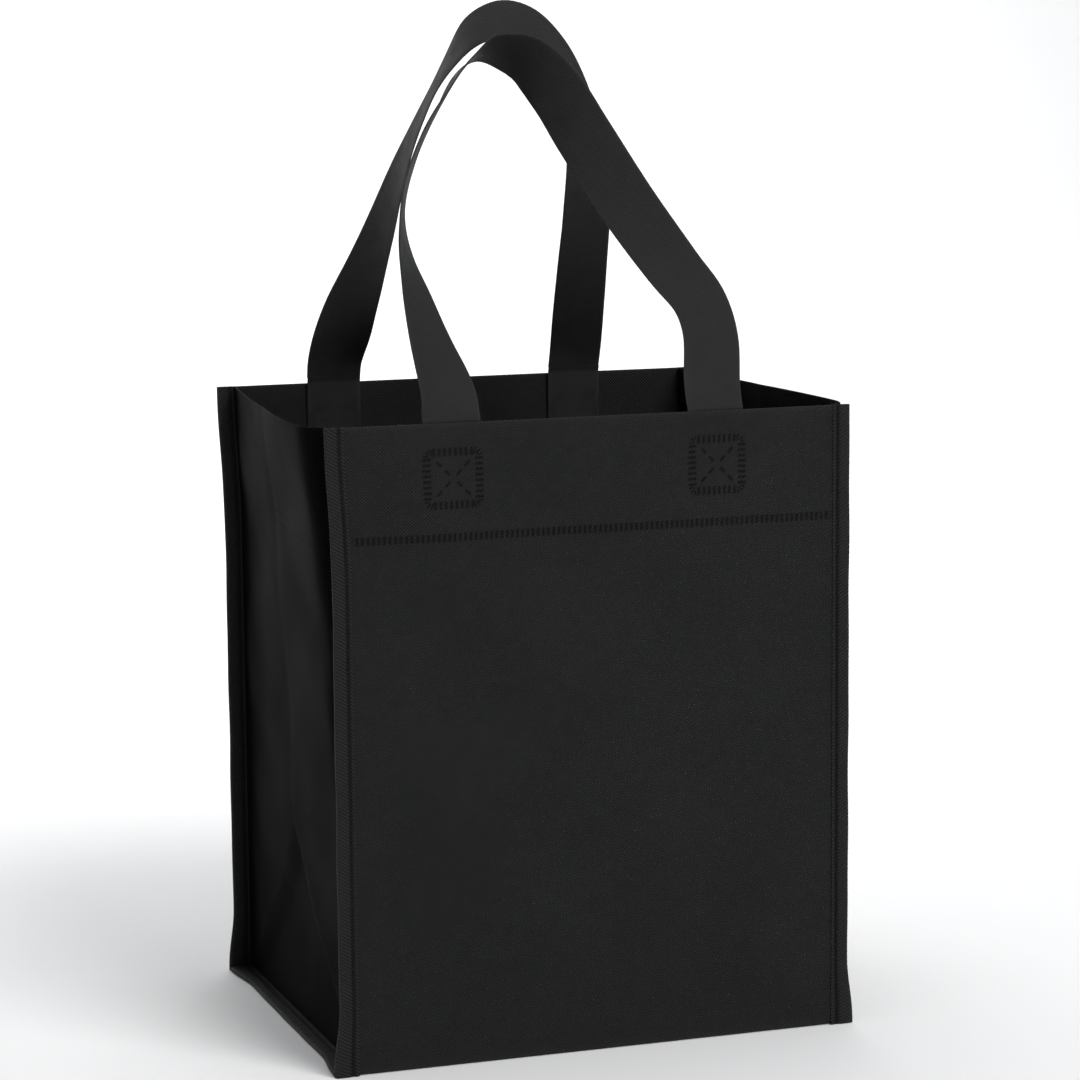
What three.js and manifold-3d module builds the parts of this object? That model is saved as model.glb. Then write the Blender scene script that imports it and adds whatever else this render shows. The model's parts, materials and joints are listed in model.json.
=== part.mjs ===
// A foldable non-woven grocery tote, standing open.
// Millimetres, +Z up. The origin is on the floor at the middle of the base, -Y is the front.
// One long strip of cloth makes the front, the base and the back. A folding side panel closes each
// side, and tape binds the strip's two long edges, which stand out sideways as flanges.

import * as THREE from "three";
import { mergeVertices } from "three/addons/utils/BufferGeometryUtils.js";
import Module from "manifold-3d";

const wasm = await Module();
wasm.setup();

// The bag
const HEIGHT = 381;
const DEPTH = 254;
const FLANGE_WIDTH = 320;
const SEAM_WIDTH = 300;
const CLOTH = 0.8;
const CLEAR = 0.3;

// Hem: the strip's ends are turned in at the mouth, which doubles the cloth
const HEM_DEPTH = 66;
const HEM_WIDTH = 292;

// Creases. The base's crease and the side's seam are the same distance in from the outer face.
const CREASE = 4;
const CREASE_SLIT = 0.3;
const LIP_GAP = 1.1;
const TUCK_RISE = 26;
const TUCK_GAP = 0.8;
const TUCK_FOOT = 2.9;

// Bottom board, in two leaves that fold with the base
const BOARD_THICKNESS = 1.2;
const BOARD_WIDTH = 288;
const BOARD_EDGE = 10;
const BASE_MIDDLE_GAP = 3;

// Binding tape, folded over the flange
const TAPE_WIDTH = 11;
const TAPE_THICKNESS = 0.6;
const TAPE_BACK = 0.7;
const BASE_TAPE_START = 12;

// Handle straps
const STRAP_WIDTH = 35;
const STRAP_THICKNESS = 1;
const STRAP_LEFT_X = -88;
const STRAP_RIGHT_X = 75;
const STRAP_END_BOTTOM = 327;
const STRAP_FROM_FACE = 2 * CLOTH + CLEAR + STRAP_THICKNESS / 2;
const FOOT_START = 0.8;
const SWING_POINT = 15;
const SWING_GAP = 3;
const FOOT_STEPS = 4;
const HANDLE_STEPS = 44;

// A strap's route from its left end to its right end: x, distance in from the panel's outer face,
// height, and how far its face has turned (degrees) from facing the panel towards facing the loop.
const STRAP_START = HEIGHT + 0.8;
const FRONT_ROUTE = [
  [STRAP_LEFT_X, STRAP_FROM_FACE, STRAP_START, 0],
  [STRAP_LEFT_X, 7, 396, 0],
  [-94, 20, 425, 28],
  [-97, 38, 453, 44],
  [-99, 53, 479, 62],
  [-95, 68, 506, 76],
  [-80, 84, 536, 84],
  [-63, 96, 559, 88],
  [-45, 106, 581, 97],
  [-28, 112, 592, 104],
  [-12, 112, 589, 78],
  [-1, 106, 582, 54],
  [11, 97, 566, 42],
  [23, 84, 541, 32],
  [44, 63, 499, 24],
  [64, 42, 463, 10],
  [76, 30, 443, 2],
  [79, 20, 424, 0],
  [STRAP_RIGHT_X, 7, 396, 0],
  [STRAP_RIGHT_X, STRAP_FROM_FACE, STRAP_START, 0],
];
const BACK_ROUTE = [
  [STRAP_LEFT_X, STRAP_FROM_FACE, STRAP_START, 0],
  [STRAP_LEFT_X, 7, 396, 0],
  [-83, 22, 424, 40],
  [-76, 38, 452, 64],
  [-69, 54, 483, 82],
  [-62, 74, 521, 97],
  [-53, 93, 556, 108],
  [-43, 107, 583, 113],
  [-28, 116, 604, 88],
  [-8, 119, 611, 74],
  [12, 115, 605, 67],
  [33, 104, 585, 62],
  [48, 90, 558, 47],
  [59, 73, 524, 28],
  [66, 54, 487, 12],
  [69, 38, 455, 4],
  [72, 22, 424, 0],
  [STRAP_RIGHT_X, 7, 396, 0],
  [STRAP_RIGHT_X, STRAP_FROM_FACE, STRAP_START, 0],
];
const FRONT_LEAN = 0.5;
const BACK_LEAN = 0.46;

const FRONT = -1;
const BACK = 1;
const LEFT = -1;
const RIGHT = 1;
const ENDS = [["front", FRONT], ["back", BACK]];
const HALVES = [["front", FRONT], ["rear", BACK]];
const SIDES = [["left", LEFT], ["right", RIGHT]];

const cloth = new THREE.MeshStandardMaterial({ color: 0x1a1a1b, roughness: 0.88, metalness: 0 });
const sideCloth = new THREE.MeshStandardMaterial({ color: 0x161618, roughness: 0.9, metalness: 0 });
const tape = new THREE.MeshStandardMaterial({ color: 0x1f1f20, roughness: 0.84, metalness: 0 });
const strap = new THREE.MeshStandardMaterial({ color: 0x1c1c1d, roughness: 0.82, metalness: 0 });
const board = new THREE.MeshStandardMaterial({ color: 0x151515, roughness: 0.6, metalness: 0 });

const bag = new THREE.Group();

function addPart(name, geometry, material) {
  const mesh = new THREE.Mesh(geometry, material.clone());
  mesh.name = name;
  bag.add(mesh);
}

// y of a point that is a distance in from the front's or the back's outer face
function inFrom(end, distance) {
  return end * (DEPTH / 2 - distance);
}

function boxBetween(x, y, z) {
  const size = [x, y, z].map(([a, b]) => Math.abs(b - a));
  const middle = [x, y, z].map(([a, b]) => (a + b) / 2);
  return new THREE.BoxGeometry(...size).translate(...middle);
}

function extrude(outline, length) {
  const shape = new THREE.Shape(outline.map(([a, b]) => new THREE.Vector2(a, b)));
  return new THREE.ExtrudeGeometry(shape, { depth: length, bevelEnabled: false });
}

// An outline in (y, z), extruded along X
function alongX(outline, start, end) {
  const turn = new THREE.Matrix4().set(0, 0, 1, start, 1, 0, 0, 0, 0, 1, 0, 0, 0, 0, 0, 1);
  return extrude(outline, end - start).applyMatrix4(turn);
}

// An outline in (z, x), extruded along Y
function alongY(outline, start, end) {
  const turn = new THREE.Matrix4().set(0, 1, 0, 0, 0, 0, 1, start, 1, 0, 0, 0, 0, 0, 0, 1);
  return extrude(outline, end - start).applyMatrix4(turn);
}

function toSolid(geometry) {
  const bare = geometry.clone();
  bare.deleteAttribute("normal");
  bare.deleteAttribute("uv");
  const merged = mergeVertices(bare);
  return new wasm.Manifold(new wasm.Mesh({
    numProp: 3,
    vertProperties: new Float32Array(merged.attributes.position.array),
    triVerts: new Uint32Array(merged.index.array),
  }));
}

function joinBoxes(boxes) {
  const solid = boxes.map(toSolid).reduce((whole, piece) => whole.add(piece));
  const mesh = solid.getMesh();
  const geometry = new THREE.BufferGeometry();
  geometry.setAttribute("position", new THREE.BufferAttribute(mesh.vertProperties, 3));
  geometry.setIndex(new THREE.BufferAttribute(mesh.triVerts, 1));
  geometry.computeVertexNormals();
  return geometry;
}

// Front and back: the sheet, its turned-in hem, and the lip that turns under towards the base
function addPanel(name, end) {
  const face = inFrom(end, 0);
  const half = FLANGE_WIDTH / 2;
  const hem = HEM_WIDTH / 2;
  addPart(`${name}_panel`, joinBoxes([
    boxBetween([-half, half], [face, inFrom(end, CLOTH)], [0, HEIGHT]),
    boxBetween([-hem, hem], [face, inFrom(end, 2 * CLOTH)], [HEIGHT - HEM_DEPTH, HEIGHT]),
    boxBetween([-hem, hem], [face, inFrom(end, CREASE - LIP_GAP)], [0, CLOTH]),
  ]), cloth);
}

// A half of a side panel, from its seam to the middle crease, cut at 45 degrees over the tuck
function addSideHalf(sideName, side, halfName, half) {
  const seam = CREASE + CREASE_SLIT;
  const middle = DEPTH / 2 - CREASE_SLIT;
  const outline = [
    [inFrom(half, seam), HEIGHT],
    [inFrom(half, seam), seam - CREASE + TUCK_RISE],
    [inFrom(half, middle), middle - CREASE + TUCK_RISE],
    [inFrom(half, middle), HEIGHT],
  ];
  const outer = side * SEAM_WIDTH / 2;
  const x = [outer, outer - side * CLOTH].sort((a, b) => a - b);
  addPart(`side_${sideName}_${halfName}`, alongX(outline, ...x), sideCloth);
}

// The triangle of a side panel between the base's edge and the 45 degree crease
function addTuck(sideName, side, halfName, half) {
  const start = CREASE + CREASE_SLIT;
  const middle = DEPTH / 2 - BASE_MIDDLE_GAP;
  const rise = TUCK_RISE - CREASE - TUCK_GAP * Math.SQRT2;
  const outline = [
    [inFrom(half, start), TUCK_FOOT],
    [inFrom(half, start), start + rise],
    [inFrom(half, middle), middle + rise],
    [inFrom(half, middle), TUCK_FOOT],
  ];
  const outer = side * SEAM_WIDTH / 2;
  const x = [outer, outer - side * CLOTH].sort((a, b) => a - b);
  addPart(`tuck_${sideName}_${halfName}`, alongX(outline, ...x), sideCloth);
}

function tapeOutline(edge, side, low, high) {
  const inner = edge - side * TAPE_WIDTH;
  const slotEnd = edge - side * TAPE_BACK;
  return [
    [edge, low],
    [edge, high],
    [inner, high],
    [inner, high - TAPE_THICKNESS],
    [slotEnd, high - TAPE_THICKNESS],
    [slotEnd, low + TAPE_THICKNESS],
    [inner, low + TAPE_THICKNESS],
    [inner, low],
  ];
}

const TAPE_EDGE = FLANGE_WIDTH / 2 + CLEAR + TAPE_BACK;
const TAPE_FOLDED = CLOTH + 2 * CLEAR + 2 * TAPE_THICKNESS;
const TAPE_PROUD = CLEAR + TAPE_THICKNESS;

// Tape up a corner of the bag, around the flange of the front or the back
function addUprightTape(sideName, side, endName, end) {
  const faces = [inFrom(end, -TAPE_PROUD), inFrom(end, TAPE_FOLDED - TAPE_PROUD)];
  const outline = tapeOutline(side * TAPE_EDGE, side, Math.min(...faces), Math.max(...faces));
  addPart(`binding_${sideName}_${endName}`, extrude(outline, HEIGHT), tape);
}

// Tape along the base's edge, around the flange of one half of the base
function addBaseTape(sideName, side, halfName, half) {
  const outline = tapeOutline(side * TAPE_EDGE, side, 0, TAPE_FOLDED).map(([x, z]) => [z, x]);
  const y = [BASE_TAPE_START, DEPTH / 2 - BASE_MIDDLE_GAP].map((distance) => inFrom(half, distance));
  y.sort((a, b) => a - b);
  addPart(`binding_${sideName}_base_${halfName}`, alongY(outline, ...y), tape);
}

// A half of the base, with its flanges stepped up into the tape
function addBaseHalf(halfName, half) {
  const flange = FLANGE_WIDTH / 2;
  const step = SEAM_WIDTH / 2 - 2;
  const stepWidth = 1;
  const outline = [
    [TAPE_PROUD, -flange],
    [TAPE_PROUD, -step - stepWidth],
    [0, -step],
    [0, step],
    [TAPE_PROUD, step + stepWidth],
    [TAPE_PROUD, flange],
    [TAPE_PROUD + CLOTH, flange],
    [TAPE_PROUD + CLOTH, step],
    [CLOTH, step - stepWidth],
    [CLOTH, -step + stepWidth],
    [TAPE_PROUD + CLOTH, -step],
    [TAPE_PROUD + CLOTH, -flange],
  ];
  const start = CREASE + CREASE_SLIT;
  const y = [start, DEPTH / 2 - BASE_MIDDLE_GAP].map((distance) => inFrom(half, distance));
  y.sort((a, b) => a - b);
  addPart(`base_${halfName}`, alongY(outline, ...y), cloth);
}

function addBoardLeaf(halfName, half) {
  const edge = BOARD_WIDTH / 2;
  const y = [inFrom(half, CREASE + BOARD_EDGE), inFrom(half, DEPTH / 2 - BASE_MIDDLE_GAP)];
  const bottom = CLOTH + CLEAR;
  addPart(`board_${halfName}`, boxBetween([-edge, edge], y, [bottom, bottom + BOARD_THICKNESS]), board);
}

// A strap is a thin box bent along its route, with its width turning as the route says
class StrapRoute {
  constructor(route, end, lean) {
    this.end = end;
    this.line = new THREE.CatmullRomCurve3(
      route.map(([x, distance, z]) => new THREE.Vector3(x, inFrom(end, distance), z)), false, "centripetal",
    );
    this.turns = route.map(([, , , turn]) => THREE.MathUtils.degToRad(turn));
    this.facing = new THREE.Vector3(0, -Math.cos(lean), -end * Math.sin(lean));
    this.length = this.line.getLength();
  }

  turnAt(along) {
    const place = this.line.getUtoTmapping(along) * (this.turns.length - 1);
    const before = Math.min(Math.floor(place), this.turns.length - 2);
    return THREE.MathUtils.lerp(this.turns[before], this.turns[before + 1], place - before);
  }

  frameAt(distance) {
    const along = distance / this.length;
    const tangent = this.line.getTangentAt(along);
    const face = this.facing.clone().addScaledVector(tangent, -this.facing.dot(tangent)).normalize();
    const inward = new THREE.Vector3().crossVectors(tangent, face).multiplyScalar(-this.end);
    const turn = this.turnAt(along);
    const normal = face.multiplyScalar(Math.cos(turn)).addScaledVector(inward, Math.sin(turn));
    const across = new THREE.Vector3().crossVectors(normal, tangent);
    return { middle: this.line.getPointAt(along), normal, across };
  }

  stretch(from, to, steps) {
    const geometry = new THREE.BoxGeometry(STRAP_WIDTH, STRAP_THICKNESS, 1, 2, 1, steps);
    const points = geometry.attributes.position;
    for (let i = 0; i < points.count; i += 1) {
      const place = this.frameAt(from + (to - from) * (0.5 + points.getZ(i)));
      const point = place.middle.addScaledVector(place.across, points.getX(i));
      point.addScaledVector(place.normal, points.getY(i));
      points.setXYZ(i, point.x, point.y, point.z);
    }
    geometry.computeVertexNormals();
    return geometry;
  }
}

function addHandle(endName, end, route, lean) {
  for (const [sideName, x] of [["left", STRAP_LEFT_X], ["right", STRAP_RIGHT_X]]) {
    const y = [STRAP_FROM_FACE - STRAP_THICKNESS / 2, STRAP_FROM_FACE + STRAP_THICKNESS / 2];
    addPart(`strap_${endName}_${sideName}_end`, boxBetween(
      [x - STRAP_WIDTH / 2, x + STRAP_WIDTH / 2],
      y.map((distance) => inFrom(end, distance)),
      [STRAP_END_BOTTOM, HEIGHT],
    ), strap);
  }
  const strapRoute = new StrapRoute(route, end, lean);
  const far = strapRoute.length;
  const footEnd = SWING_POINT - SWING_GAP;
  const loopStart = SWING_POINT + SWING_GAP;
  addPart(`strap_${endName}_left_foot`, strapRoute.stretch(FOOT_START, footEnd, FOOT_STEPS), strap);
  addPart(`strap_${endName}_right_foot`, strapRoute.stretch(far - footEnd, far - FOOT_START, FOOT_STEPS), strap);
  addPart(`handle_${endName}`, strapRoute.stretch(loopStart, far - loopStart, HANDLE_STEPS), strap);
}

for (const [endName, end] of ENDS) {
  addPanel(endName, end);
}
for (const [halfName, half] of HALVES) {
  addBaseHalf(halfName, half);
  addBoardLeaf(halfName, half);
}
for (const [sideName, side] of SIDES) {
  for (const [halfName, half] of HALVES) {
    addSideHalf(sideName, side, halfName, half);
    addTuck(sideName, side, halfName, half);
    addBaseTape(sideName, side, halfName, half);
  }
  for (const [endName, end] of ENDS) {
    addUprightTape(sideName, side, endName, end);
  }
}
addHandle("front", FRONT, FRONT_ROUTE, FRONT_LEAN);
addHandle("back", BACK, BACK_ROUTE, BACK_LEAN);

export default bag;
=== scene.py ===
# A black non-woven tote bag, standing open. Metres, +Z up, -Y is the front.
# "depth" is a distance in from the outer face of the front or the back.
import json
import math

import bmesh
import bpy
import numpy as np
from mathutils import Matrix, Vector


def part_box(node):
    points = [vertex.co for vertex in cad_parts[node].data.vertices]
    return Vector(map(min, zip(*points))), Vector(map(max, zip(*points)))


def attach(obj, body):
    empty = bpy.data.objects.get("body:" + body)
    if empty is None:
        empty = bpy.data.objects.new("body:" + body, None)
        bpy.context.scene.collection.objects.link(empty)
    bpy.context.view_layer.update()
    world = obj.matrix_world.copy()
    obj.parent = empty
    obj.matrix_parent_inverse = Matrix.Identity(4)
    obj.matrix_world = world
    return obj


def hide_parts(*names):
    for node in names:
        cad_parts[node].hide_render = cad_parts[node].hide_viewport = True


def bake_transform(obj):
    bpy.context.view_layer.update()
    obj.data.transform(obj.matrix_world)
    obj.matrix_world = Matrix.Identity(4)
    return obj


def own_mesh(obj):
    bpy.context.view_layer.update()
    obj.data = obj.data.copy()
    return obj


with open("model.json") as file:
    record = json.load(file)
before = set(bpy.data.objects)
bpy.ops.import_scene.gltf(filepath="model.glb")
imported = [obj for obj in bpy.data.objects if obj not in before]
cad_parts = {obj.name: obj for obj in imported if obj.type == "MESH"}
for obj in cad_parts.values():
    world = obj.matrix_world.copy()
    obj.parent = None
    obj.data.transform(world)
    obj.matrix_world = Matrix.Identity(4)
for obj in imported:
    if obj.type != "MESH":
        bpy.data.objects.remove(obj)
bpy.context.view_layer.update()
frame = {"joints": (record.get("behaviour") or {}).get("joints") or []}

FRONT, BACK = -1, 1
LEFT, RIGHT = -1, 1
ENDS = {"front": FRONT, "back": BACK}
HALVES = {"front": FRONT, "rear": BACK}
SIDES = {"left": LEFT, "right": RIGHT}
PANEL_BODY = {FRONT: "front_panel", BACK: "back_panel"}
HALF_NAME = {FRONT: "front", BACK: "rear"}

joints = {joint["name"]: joint for joint in frame["joints"]}

# Places taken from the frame
HALF_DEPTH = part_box("back_panel")[1][1]
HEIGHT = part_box("back_panel")[1][2]
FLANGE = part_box("back_panel")[1][0]
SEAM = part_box("side_right_rear")[1][0]
TAPE_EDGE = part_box("binding_right_back")[1][0]
CREASE = HALF_DEPTH - joints["fold"]["pos_m"][1]

# The cloth and how it is folded
CLOTH = 0.0007
LAYER = 0.00078
HEM_DEPTH = 0.066
CORNER_RADIUS = 0.003
BASE_STEP = 0.0009
HEM_STEP = 0.0003
WELD_ROW = HEIGHT - HEM_DEPTH
TUCK_FOOT = 0.0027
TUCK_LINE = 0.0035
TUCK_DIP = 0.004

# The side panel's edge, turned out under the tape
TURN_RADIUS = 0.0016
TURN_DEPTH = 0.0018
TURN_INSIDE = 0.0065

# Mesh steps: fine over the heights where the hem's row of bars and the stamps are
PLAIN_TOP = 0.307
WELD_ROW_SPAN = (0.3078, 0.321)
STAMP_SPAN = (0.3285, 0.3695)
SIDE_PLAIN_TOP = 0.3
FINE_STEP = 0.0008
HEM_MESH_STEP = 0.006
PANEL_STEP = 0.0032
FLOOR_STEP = 0.005
SIDE_STEP = 0.0035
TAPE_STEP = 0.0016

# How far the flanges lean outwards at the mouth, and over what height
MOUTH_SPREAD = {LEFT: 0.0035, RIGHT: 0.0}
MOUTH_SPREAD_DEPTH = 0.09

# The pressed weld marks
DASH_PITCH = 0.0032
DASH_WIDTH = 0.0012
DASH_HEIGHT = 0.0046
STAMP_HALF = 0.0178
STAMP_BAND = 0.0046
STAMP_HEIGHT = 0.349
WELD_DEPTH = 0.00055

# Tape and thread
TAPE = 0.0005
TAPE_WIDTH = 0.011
TAPE_FLARE = 0.0035
TAPE_FOLDED = 0.0031
STITCH_PITCH = 0.0032
STITCH_LENGTH = 0.0025
THREAD = 0.00021
STITCH_INSET = 0.0028
STITCH_START = 0.003
STITCH_MARGIN = 0.004
STITCH_SINK = 0.0002

# Straps
STRAP_WIDTH = 0.035
STRAP = 0.001
STRAP_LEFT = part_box("strap_front_left_end")
STRAP_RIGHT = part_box("strap_front_right_end")
STRAP_LEFT_X = (STRAP_LEFT[0][0] + STRAP_LEFT[1][0]) / 2
STRAP_RIGHT_X = (STRAP_RIGHT[0][0] + STRAP_RIGHT[1][0]) / 2
STRAP_DEPTH = 0.0024
STRAP_END_BOTTOM = STRAP_LEFT[0][2]
STRAP_JOIN = 0.0035
STRAP_OVERLAP = 0.0004
STRAP_STEP = 0.0035
STRAP_END_STEP = 0.003

# Bottom board
BOARD_CORNER = 0.012
BOARD_BEVEL = 0.0003

# Each strap's route from its left end to its right end: x, depth, height and turn in degrees
ROUTES = {
    "front": [
        (STRAP_LEFT_X, STRAP_DEPTH, HEIGHT + 0.0008, 0),
        (STRAP_LEFT_X, 0.007, 0.396, 0),
        (-0.094, 0.020, 0.425, 28), (-0.097, 0.038, 0.453, 44), (-0.099, 0.053, 0.479, 62),
        (-0.095, 0.068, 0.506, 76), (-0.080, 0.084, 0.536, 84), (-0.063, 0.096, 0.559, 88),
        (-0.045, 0.106, 0.581, 97), (-0.028, 0.112, 0.592, 104), (-0.012, 0.112, 0.589, 78),
        (-0.001, 0.106, 0.582, 54), (0.011, 0.097, 0.566, 42), (0.023, 0.084, 0.541, 32),
        (0.044, 0.063, 0.499, 24), (0.064, 0.042, 0.463, 10), (0.076, 0.030, 0.443, 2),
        (0.079, 0.020, 0.424, 0),
        (STRAP_RIGHT_X, 0.007, 0.396, 0),
        (STRAP_RIGHT_X, STRAP_DEPTH, HEIGHT + 0.0008, 0),
    ],
    "back": [
        (STRAP_LEFT_X, STRAP_DEPTH, HEIGHT + 0.0008, 0),
        (STRAP_LEFT_X, 0.007, 0.396, 0),
        (-0.083, 0.022, 0.424, 40), (-0.076, 0.038, 0.452, 64), (-0.069, 0.054, 0.483, 82),
        (-0.062, 0.074, 0.521, 97), (-0.053, 0.093, 0.556, 108), (-0.043, 0.107, 0.583, 113),
        (-0.028, 0.116, 0.604, 88), (-0.008, 0.119, 0.611, 74), (0.012, 0.115, 0.605, 67),
        (0.033, 0.104, 0.585, 62), (0.048, 0.090, 0.558, 47), (0.059, 0.073, 0.524, 28),
        (0.066, 0.054, 0.487, 12), (0.069, 0.038, 0.455, 4), (0.072, 0.022, 0.424, 0),
        (STRAP_RIGHT_X, 0.007, 0.396, 0),
        (STRAP_RIGHT_X, STRAP_DEPTH, HEIGHT + 0.0008, 0),
    ],
}
LEAN = {"front": 0.5, "back": 0.46}


# ---------------------------------------------------------------- helpers

def smooth(low, high, value):
    """0 below low, 1 above high, with an even ease between them."""
    t = np.clip((value - low) / (high - low), 0, 1)
    return t * t * (3 - 2 * t)


def unit(vectors):
    return vectors / np.maximum(np.linalg.norm(vectors, axis=-1, keepdims=True), 1e-12)


def steps(start, end, size):
    """Even steps of about size from start to end, both included."""
    return np.linspace(start, end, max(2, int(round(abs(end - start) / size)) + 1))


def join_rows(*runs):
    """Runs of numbers one after another, without the repeated ends."""
    return np.concatenate([runs[0]] + [run[1:] for run in runs[1:]])


def distance_along(*places):
    """Distance along a line from its start, given its points' places on each axis."""
    lengths = np.sqrt(sum(np.diff(place) ** 2 for place in places))
    return np.concatenate([[0], np.cumsum(lengths)])


def grid_faces(first, rows, columns):
    a = first + np.arange(rows - 1)[:, None] * columns + np.arange(columns - 1)[None, :]
    return np.stack([a, a + 1, a + columns + 1, a + columns], axis=-1).reshape(-1, 4).tolist()


def fan_faces(wide, fine):
    """Joins an edge of few vertices to an edge with several vertices for each of its steps."""
    ratio = (len(fine) - 1) // (len(wide) - 1)
    return [
        [wide[i], wide[i + 1], *fine[i * ratio:(i + 1) * ratio + 1][::-1]]
        for i in range(len(wide) - 1)
    ]


def finish_mesh(name, points, faces, uv, masks, material, sharp=50):
    """A mesh with its faces turned outwards, uv in metres, and masks as point attributes."""
    mesh = bpy.data.meshes.new(name)
    mesh.from_pydata(points, [], faces)
    mesh.update()
    mesh.calc_loop_triangles()
    corners = np.empty(len(mesh.loop_triangles) * 3, int)
    mesh.loop_triangles.foreach_get("vertices", corners)
    a, b, c = np.moveaxis(points[corners.reshape(-1, 3)], 1, 0)
    if np.einsum("ij,ij->", a, np.cross(b, c)) < 0:
        mesh.flip_normals()
    loops = np.empty(len(mesh.loops), int)
    mesh.loops.foreach_get("vertex_index", loops)
    mesh.uv_layers.new(name="UVMap").data.foreach_set("uv", uv[loops].ravel())
    for mask, values in masks.items():
        mesh.attributes.new(mask, "FLOAT", "POINT").data.foreach_set("value", values)
    mesh.shade_smooth()
    mesh.set_sharp_from_angle(angle=math.radians(sharp))
    mesh.materials.append(material)
    piece = bpy.data.objects.new(name, mesh)
    bpy.context.scene.collection.objects.link(piece)
    return piece


class Band:
    """A grid of points of a sheet's middle surface, with what is pressed into it and worn."""

    def __init__(self, points, u, v, press=None, wear=None):
        shape = points.shape[:2]
        self.points = points
        self.uv = np.stack(np.broadcast_arrays(u, v), axis=-1)
        self.press = np.zeros(shape) if press is None else press
        self.wear = np.zeros(shape) if wear is None else wear
        across = np.gradient(points, axis=1)
        along = np.gradient(points, axis=0)
        self.normal = unit(np.cross(across, along))


def sheet_mesh(name, bands, thickness, material, facing, sharp=50):
    """A closed thin sheet around its bands. facing is a direction that its outer face looks in."""
    middle = bands[len(bands) // 2].normal
    sign = 1 if np.mean(middle @ np.array(facing)) > 0 else -1
    outer, inner, uv, press, wear, ids = [], [], [], [], [], []
    total = sum(band.press.size for band in bands)
    first = 0
    for band in bands:
        normal = band.normal * sign
        half = (np.broadcast_to(thickness, band.press.shape) / 2)[..., None]
        dent = (band.press * WELD_DEPTH)[..., None]
        outer.append((band.points + normal * (half - dent)).reshape(-1, 3))
        inner.append((band.points - normal * (half - dent * 0.3)).reshape(-1, 3))
        uv.append(band.uv.reshape(-1, 2))
        press.append(band.press.ravel())
        wear.append(band.wear.ravel())
        ids.append(first + np.arange(band.press.size).reshape(band.press.shape))
        first += band.press.size
    faces = []
    for start in (0, total):
        for band_ids in ids:
            faces += grid_faces(start + band_ids[0, 0], *band_ids.shape)
        for above, below in zip(ids, ids[1:]):
            last, next_row = above[-1] + start, below[0] + start
            if len(last) <= len(next_row):
                faces += fan_faces(last.tolist(), next_row.tolist())
            else:
                faces += fan_faces(next_row.tolist(), last.tolist())
    flipped = len(faces) // 2
    faces = faces[:flipped] + [face[::-1] for face in faces[flipped:]]
    edge_runs = [
        np.concatenate([band_ids[:, 0] for band_ids in ids])[::-1],
        np.concatenate([band_ids[:, -1] for band_ids in ids]),
        ids[0][0],
        ids[-1][-1][::-1],
    ]
    for run in edge_runs:
        for a, b in zip(run, run[1:]):
            faces.append([int(b), int(a), int(a) + total, int(b) + total])
    masks = {"press": np.tile(np.concatenate(press), 2), "wear": np.tile(np.concatenate(wear), 2)}
    points = np.concatenate(outer + inner)
    piece = finish_mesh(name, points, faces, np.tile(np.concatenate(uv), (2, 1)), masks, material, sharp)
    even_out(piece)
    return piece


def even_out(piece):
    """Makes neighbouring faces agree on which way is out."""
    mesh = piece.data
    work = bmesh.new()
    work.from_mesh(mesh)
    bmesh.ops.recalc_face_normals(work, faces=work.faces)
    work.to_mesh(mesh)
    work.free()


# ---------------------------------------------------------------- materials

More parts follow.
